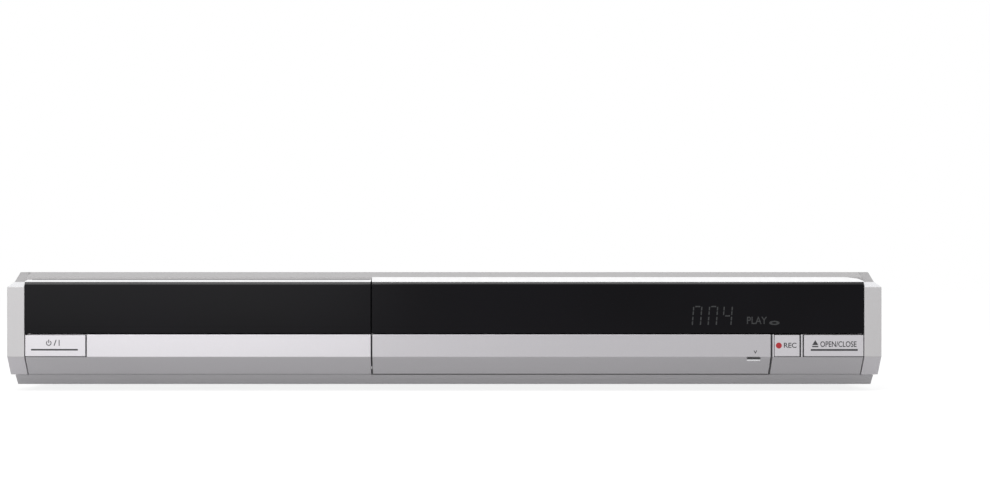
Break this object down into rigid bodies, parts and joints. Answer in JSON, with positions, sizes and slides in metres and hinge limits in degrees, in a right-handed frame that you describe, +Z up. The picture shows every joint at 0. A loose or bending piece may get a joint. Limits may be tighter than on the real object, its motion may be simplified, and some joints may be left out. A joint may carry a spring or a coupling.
{
  "type": "disc recorder",
  "caption": "Slim disc and hard disk recorder with a sliding disc tray, a display window, push buttons and a flap door over its front jacks.",
  "frame": {"origin": "middle of the overall box's base, on the surface that the feet stand on", "axes": "+X to the right seen from the front, +Y to the back, +Z up"},
  "size_m": [0.43, 0.338, 0.059],
  "materials": {
    "silver_plastic": "silver painted, satin",
    "bright_trim": "bright silver, smooth",
    "gloss_black": "piano black, polished",
    "painted_steel": "silver paint, fine texture",
    "zinc_steel": "zinc plated sheet",
    "bright_steel": "ground steel",
    "dark_plastic": "moulded, fine grain",
    "small_button_plastic": "satin",
    "gear_plastic": "natural acetal",
    "belt_rubber": "square belt",
    "foot_rubber": "moulded",
    "circuit_board": "solder mask",
    "cable_sheath": "flat ribbon",
    "display_glass": "sealed display glass",
    "lens_glass": "coated lens",
    "cast_aluminium": "cast and machined",
    "transformer_tape": "taped windings"
  },
  "bodies": {
    "case": {"bottom_chassis": "zinc_steel", "rear_panel": "zinc_steel", "top_cover": "painted_steel", "case_screws": "zinc_steel", "front_bezel": "silver_plastic", "left_end_cap": "silver_plastic", "right_end_cap": "silver_plastic", "display_window": "gloss_black", "window_trim": "bright_trim", "jack_panel": "dark_plastic", "front_jacks": "dark_plastic", "flap_hinge_pins": "bright_steel", "front_boards": "circuit_board", "front_switches": "gear_plastic", "fluorescent_display": "display_glass", "feet": "foot_rubber", "drive_frame": "dark_plastic", "drive_lid": "zinc_steel", "inner_brackets": "zinc_steel", "clamper_bridge": "dark_plastic", "loading_motor": "bright_steel", "loading_belt": "belt_rubber", "hard_disk": "cast_aluminium", "main_board": "circuit_board", "power_board": "circuit_board", "board_components": "dark_plastic", "transformer": "transformer_tape", "heat_sinks": "cast_aluminium", "tuner_module": "zinc_steel", "fan_frame": "dark_plastic", "mains_inlet": "dark_plastic", "scart_sockets": "dark_plastic", "phono_sockets": "dark_plastic", "digital_sockets": "dark_plastic", "ribbon_cables": "cable_sheath"},
    "tray": {"disc_tray": "dark_plastic", "tray_fascia": "gloss_black", "tray_trim": "bright_trim"},
    "loading_gear": {"loading_gear": "gear_plastic"},
    "motor_pulley": {"motor_pulley": "gear_plastic"},
    "traverse": {"traverse_frame": "dark_plastic", "guide_rods": "bright_steel", "spindle_motor": "bright_steel", "sled_motor": "bright_steel"},
    "lift_slider": {"lift_slider": "dark_plastic"},
    "turntable": {"turntable": "dark_plastic"},
    "pickup": {"pickup_sled": "dark_plastic", "pickup_lens": "lens_glass"},
    "lead_screw": {"lead_screw": "bright_steel"},
    "disc_clamper": {"disc_clamper": "dark_plastic"},
    "flap_door": {"flap_door": "silver_plastic"},
    "fan_rotor": {"fan_rotor": "dark_plastic"},
    "power_button": {"power_button": "silver_plastic"},
    "record_button": {"record_button": "silver_plastic"},
    "open_close_button": {"open_close_button": "silver_plastic"},
    "drive_select_button": {"drive_select_button": "small_button_plastic"},
    "channel_down_button": {"channel_down_button": "small_button_plastic"},
    "channel_up_button": {"channel_up_button": "small_button_plastic"},
    "stop_button": {"stop_button": "small_button_plastic"},
    "play_button": {"play_button": "small_button_plastic"}
  },
  "joints": [
    {"name": "tray_slide", "type": "slide", "parent": "case", "child": "tray", "axis": [0, -1, 0], "range_m": [0, 0.15]},
    {"name": "loading_gear_spin", "type": "hinge", "parent": "case", "child": "loading_gear", "pos_m": [-0.16315, -0.1315, 0.0325], "axis": [0, 0, 1], "range_deg": [0, 864.4]},
    {"name": "motor_pulley_spin", "type": "hinge", "parent": "case", "child": "motor_pulley", "pos_m": [-0.11915, -0.1315, 0.0325], "axis": [0, 0, 1], "range_deg": [0, 3348.4]},
    {"name": "traverse_lift", "type": "slide", "parent": "case", "child": "traverse", "axis": [0, 0, 1], "range_m": [0, 0.0065]},
    {"name": "lift_slider_slide", "type": "slide", "parent": "case", "child": "lift_slider", "axis": [1, 0, 0], "range_m": [0, 0.013]},
    {"name": "turntable_spin", "type": "hinge", "parent": "traverse", "child": "turntable", "pos_m": [-0.12115, -0.076, 0.0327], "axis": [0, 0, 1], "continuous": true},
    {"name": "clamper_spin", "type": "hinge", "parent": "case", "child": "disc_clamper", "pos_m": [-0.12115, -0.076, 0.0421], "axis": [0, 0, 1], "continuous": true},
    {"name": "pickup_slide", "type": "slide", "parent": "traverse", "child": "pickup", "axis": [0, 1, 0], "range_m": [0, 0.034]},
    {"name": "lead_screw_spin", "type": "hinge", "parent": "traverse", "child": "lead_screw", "pos_m": [-0.08815, -0.0443, 0.0238], "axis": [0, 1, 0], "range_deg": [0, 4085]},
    {"name": "flap_hinge", "type": "hinge", "parent": "case", "child": "flap_door", "pos_m": [0.06245, -0.1585, 0.0119], "axis": [1, 0, 0], "range_deg": [0, 80]},
    {"name": "fan_spin", "type": "hinge", "parent": "case", "child": "fan_rotor", "pos_m": [0.057, 0.1525, 0.0305], "axis": [0, 1, 0], "continuous": true},
    {"name": "power_button_press", "type": "slide", "parent": "case", "child": "power_button", "axis": [0, 1, 0], "range_m": [0, 0.0008], "stiffness_N_per_m": 500},
    {"name": "record_button_press", "type": "slide", "parent": "case", "child": "record_button", "axis": [0, 1, 0], "range_m": [0, 0.0008], "stiffness_N_per_m": 500},
    {"name": "open_close_button_press", "type": "slide", "parent": "case", "child": "open_close_button", "axis": [0, 1, 0], "range_m": [0, 0.0008], "stiffness_N_per_m": 500},
    {"name": "drive_select_button_press", "type": "slide", "parent": "case", "child": "drive_select_button", "axis": [0, 1, 0], "range_m": [0, 0.0004], "stiffness_N_per_m": 800},
    {"name": "channel_down_button_press", "type": "slide", "parent": "case", "child": "channel_down_button", "axis": [0, 1, 0], "range_m": [0, 0.0004], "stiffness_N_per_m": 800},
    {"name": "channel_up_button_press", "type": "slide", "parent": "case", "child": "channel_up_button", "axis": [0, 1, 0], "range_m": [0, 0.0004], "stiffness_N_per_m": 800},
    {"name": "stop_button_press", "type": "slide", "parent": "case", "child": "stop_button", "axis": [0, 1, 0], "range_m": [0, 0.0004], "stiffness_N_per_m": 800},
    {"name": "play_button_press", "type": "slide", "parent": "case", "child": "play_button", "axis": [0, 1, 0], "range_m": [0, 0.0004], "stiffness_N_per_m": 800}
  ],
  "couplings": [
    {"joint": "loading_gear_spin", "follows": "tray_slide", "rad_per_m": 100},
    {"joint": "motor_pulley_spin", "follows": "tray_slide", "rad_per_m": 389.02},
    {"joint": "lift_slider_slide", "follows": "traverse_lift", "ratio": 2},
    {"joint": "clamper_spin", "follows": "turntable_spin", "ratio": 1},
    {"joint": "lead_screw_spin", "follows": "pickup_slide", "rad_per_m": 2094.4}
  ]
}
